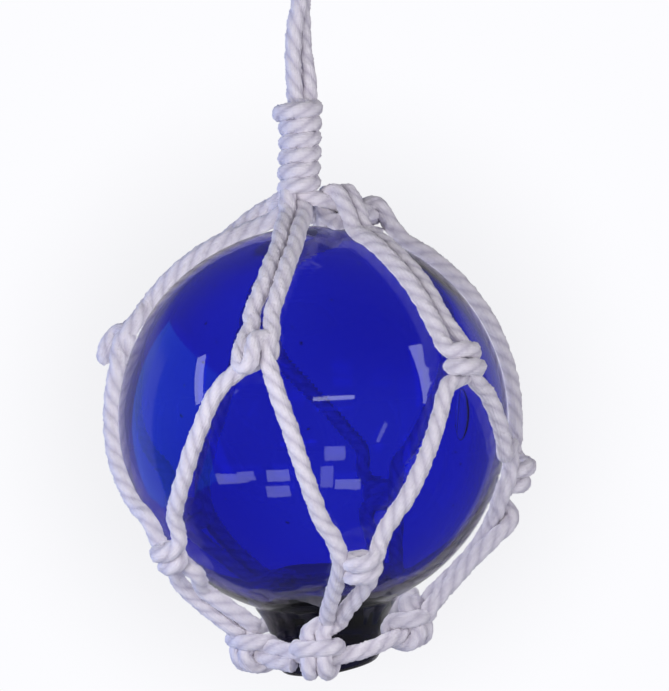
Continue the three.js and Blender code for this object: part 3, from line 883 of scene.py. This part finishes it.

# %% [markdown]
# ## Bright-field studio
# Glass has no colour to light. It shows what is behind it, and in its skin, what is round it. So it is set in
# front of a lit panel, as glassware is: the panel shines through the ball as blue, and the ball's edge, which
# mirrors the sides of the room, turns pale. The panel is wide, but little higher than the view, so that the ball's
# top and foot, which bend the light most, look past it into the dim room and turn dark. Opal acrylic glows evenly,
# but the panel has painted shade: it is a little dimmer round the spot straight behind the ball, which makes a
# soft dark halo round the ball like a shadow. A pale floor of matte paper lies below.

# %% Panel and floor
PANEL_DEPTH = 1.1  # metres from the float back to the panel
PANEL_MIDDLE = -0.29
PANEL_SIZE = (1.1, 0.66)
# painted shade: the spot on the panel that lies straight behind the ball, seen from the camera, is dimmed like a
# shadow
PAINTED_SHADE_SPOT = (0, PANEL_DEPTH, -0.32)
PAINTED_SHADE_RADII = (0.1, 0.3)  # where it starts to brighten, and where it is full
FLOOR = -0.9


def stage_sheet(name, corners, material):
    """A flat four-cornered sheet that belongs to the studio."""
    mesh = bpy.data.meshes.new(name)
    mesh.from_pydata(corners, [], [(0, 1, 2, 3)])
    mesh.materials.append(material)
    sheet = in_scene(name, mesh)
    return sheet


def backlit_acrylic():
    """Glowing opal acrylic with painted shade: a little dimmer round the spot straight behind the ball."""
    material, tree = new_material("opal_acrylic_backlit")
    place = add_node(tree, "TexCoord")
    # painted shade: the glow falls off towards the spot behind the ball
    from_middle = add_node(tree, "VectorMath", {
        0: place.outputs["Object"], 1: PAINTED_SHADE_SPOT,
    }, operation="DISTANCE")
    shine = add_node(tree, "MapRange", {
        "Value": from_middle.outputs["Value"], "From Min": PAINTED_SHADE_RADII[0], "From Max": PAINTED_SHADE_RADII[1],
        "To Min": 0.87, "To Max": 1.0,
    }, interpolation_type="SMOOTHSTEP")
    glow = add_node(tree, "Emission", {
        "Color": linear("#fcfcff"), "Strength": shine.outputs["Result"],
    })
    add_node(tree, "OutputMaterial", {"Surface": glow.outputs["Emission"]})
    return material


def matte_paper():
    """Uncoated white paper: it scatters light evenly and has no gloss."""
    material, tree = new_material("matte_white_paper")
    shader = add_node(tree, "BsdfPrincipled", {"Base Color": linear("#eeeef2"), "Roughness": 0.95})
    add_node(tree, "OutputMaterial", {"Surface": shader.outputs["BSDF"]})
    return material


CORNERS = [(-0.5, -0.5), (0.5, -0.5), (0.5, 0.5), (-0.5, 0.5)]
panel_corners = [(x * PANEL_SIZE[0], PANEL_DEPTH, PANEL_MIDDLE + z * PANEL_SIZE[1]) for x, z in CORNERS]
stage_sheet("lit_panel", panel_corners, backlit_acrylic())
floor = stage_sheet("paper_floor", [(6 * x, 6 * y, FLOOR) for x, y in CORNERS], matte_paper())
floor.visible_glossy = False  # it would lie as a grey veil over the lower half of the ball
print("panel", PANEL_SIZE, "m,", PANEL_DEPTH, "m behind the float")

# %% [markdown]
# ## The room
# The room is a plain sky in every direction, with a brighter band behind the float. That band is what the ball
# mirrors at a flat angle, as the lilac light along its edge. In front and overhead the room is dim, because the
# skin mirrors a twenty-fifth of it everywhere else, and a bright room would wash the blue out.

# %% Room light
ROOM_FRONT, ROOM_BACK = 0.22, 0.5  # how bright it is
BACK = (-0.2, 1, 0)  # a little more of the left side is bright than of the right
BACK_EDGE = (0.47, 0.52)  # over which the band begins, as shares of the way to the back
BAND_DROP = 0.1  # how far below level the band's middle is, and then the heights over which it fades
BAND_FADE = (0.52, 0.36)


def room():
    """The sky round the scene: one colour, two brightnesses."""
    world = bpy.data.worlds.new("room")
    bpy.context.scene.world = world
    world.use_nodes = True
    tree = world.node_tree
    tree.nodes.clear()
    place = add_node(tree, "TexCoord")
    towards = add_node(tree, "SeparateXYZ", {"Vector": place.outputs["Generated"]})
    from_band = add_node(tree, "Math", {0: towards.outputs["Z"], 1: BAND_DROP}, operation="ADD")
    steepness = add_node(tree, "Math", {0: from_band.outputs["Value"]}, operation="ABSOLUTE")
    backwards = add_node(tree, "VectorMath", {
        0: place.outputs["Generated"], 1: BACK,
    }, operation="DOT_PRODUCT")
    behind, level = (
        add_node(tree, "MapRange", {
            "Value": amount.outputs["Value"], "From Min": edge[0], "From Max": edge[1],
        }, interpolation_type="SMOOTHSTEP")
        for amount, edge in ((backwards, BACK_EDGE), (steepness, BAND_FADE))
    )
    bright = add_node(tree, "Math", {
        0: behind.outputs["Result"], 1: level.outputs["Result"],
    }, operation="MULTIPLY")
    strength = add_node(tree, "MapRange", {
        "Value": bright.outputs["Value"], "To Min": ROOM_FRONT, "To Max": ROOM_BACK,
    })
    sky = add_node(tree, "Background", {
        "Color": linear("#f4f3fb"), "Strength": strength.outputs["Result"],
    })
    add_node(tree, "OutputWorld", {"Surface": sky.outputs["Background"]})


room()
bpy.context.scene.view_settings.view_transform = "Standard"  # colours come out as they were mixed
print("room:", ROOM_FRONT, "in front and overhead,", ROOM_BACK, "behind")

# %% [markdown]
# ## Light on the rope
# The cotton wants a broad soft light, but a broad light would also show in the ball as a white sheet. So the key
# and the fill are hidden from gloss and from glass. The key stands close, which leaves the hanger and the foot a
# little darker than the ropes in front. The ball throws no shadow, because its blue would double on the ropes
# behind it, and a weak lamp in its middle stands for the light that it gathers on them. The blue sky light at the
# left does show in the ball: it turns that side azure and cools the ropes there.

# %% Softboxes
def softbox(name, place, aim, size, power, colour="#ffffff"):
    """A rectangular soft light, width by height in metres, that points at a place."""
    data = bpy.data.lights.new(name, "AREA")
    data.shape = "RECTANGLE"
    data.size, data.size_y = size
    data.energy = power
    data.color = linear(colour)[:3]
    lamp = in_scene(name, data)
    lamp.location = place
    lamp.rotation_mode = "QUATERNION"
    lamp.rotation_quaternion = (Vector(place) - Vector(aim)).to_track_quat("Z", "Y")
    lamp.visible_camera = False
    return lamp


def gathered_light(power):
    """A lamp in the middle of the ball, for the light that the ball gathers on the cords behind it."""
    lamp = in_scene("gathered_light", bpy.data.lights.new("gathered_light", "POINT"))
    lamp.data.energy = power
    lamp.data.shadow_soft_size = 0.02
    lamp.location = BALL_CENTRE
    lamp.visible_camera = False
    return lamp


softbox("sky_light", (-1.1, 0.1, -0.2), BALL_CENTRE, (1.5, 1.3), 6.0, "#1f86ff")
only_on_rope = (
    softbox("key", (-0.22, -0.42, -0.16), BALL_CENTRE, (0.36, 0.36), 1.55, "#fbf9ff"),
    softbox("fill", (1.2, -0.8, 0.0), BALL_CENTRE, (0.8, 1.0), 9, "#f6f5ff"),
    gathered_light(0.17),
)
for lamp in only_on_rope:
    lamp.visible_glossy = False
    lamp.visible_transmission = False
glass.visible_shadow = False
print("lamps:", ["sky_light"] + [lamp.name for lamp in only_on_rope])

# %% [markdown]
# ## Windows in the skin
# A shiny ball shows its room as small bright shapes, and they are what makes it read as glass. Each window is a
# small light that only gloss can see. The mirror law places it: a highlight that should sit on the ball where its
# skin is tilted by some angle needs a window in twice that direction.

# %% Windows
WINDOW_DISTANCE = 0.9
camera_right = turned.col[0].xyz
camera_up = turned.col[1].xyz


def window(name, right, up, size, shine, spin):
    """A pane of light whose highlight sits right and up of the ball's middle, all in ball radii."""
    skin = camera_right * right + camera_up * up + to_camera * math.sqrt(1 - right * right - up * up)
    mirrored = 2 * skin.dot(to_camera) * skin - to_camera
    metres = [2 * share * WINDOW_DISTANCE for share in size]
    power = shine * math.pi * metres[0] * metres[1]
    place = BALL_CENTRE + mirrored * WINDOW_DISTANCE
    pane = softbox(name, place, BALL_CENTRE, metres, power, "#eef2ff")
    pane.rotation_quaternion = pane.rotation_quaternion @ Matrix.Rotation(spin, 3, "Z").to_quaternion()
    pane.visible_diffuse = False


WINDOWS = [  # right, up, width and height, brightness, turn
    (-0.545, 0.21, (0.05, 0.2), 4.0, 0.45), (-0.38, -0.27, (0.2, 0.045), 2.2, 0.05),
    (-0.175, -0.26, (0.11, 0.06), 2.6, 0.0), (-0.175, -0.335, (0.11, 0.05), 2.2, 0.0),
    (0.1, 0.118, (0.2, 0.02), 5.0, 0.0), (0.1, -0.155, (0.1, 0.07), 2.2, 0.0),
    (0.06, -0.27, (0.06, 0.1), 1.8, 0.0), (0.16, -0.31, (0.12, 0.05), 2.6, 0.0),
    (0.55, 0.22, (0.09, 0.24), 3.6, -0.2), (-0.38, 0.16, (0.05, 0.05), 2.0, 0.7),
    (0.33, -0.06, (0.02, 0.1), 2.0, -0.5),
]
for number, (right, up, size, shine, spin) in enumerate(WINDOWS):
    window(f"window_{number + 1}", right, up, size, shine, spin)
print("studio ready:", len(WINDOWS), "windows")
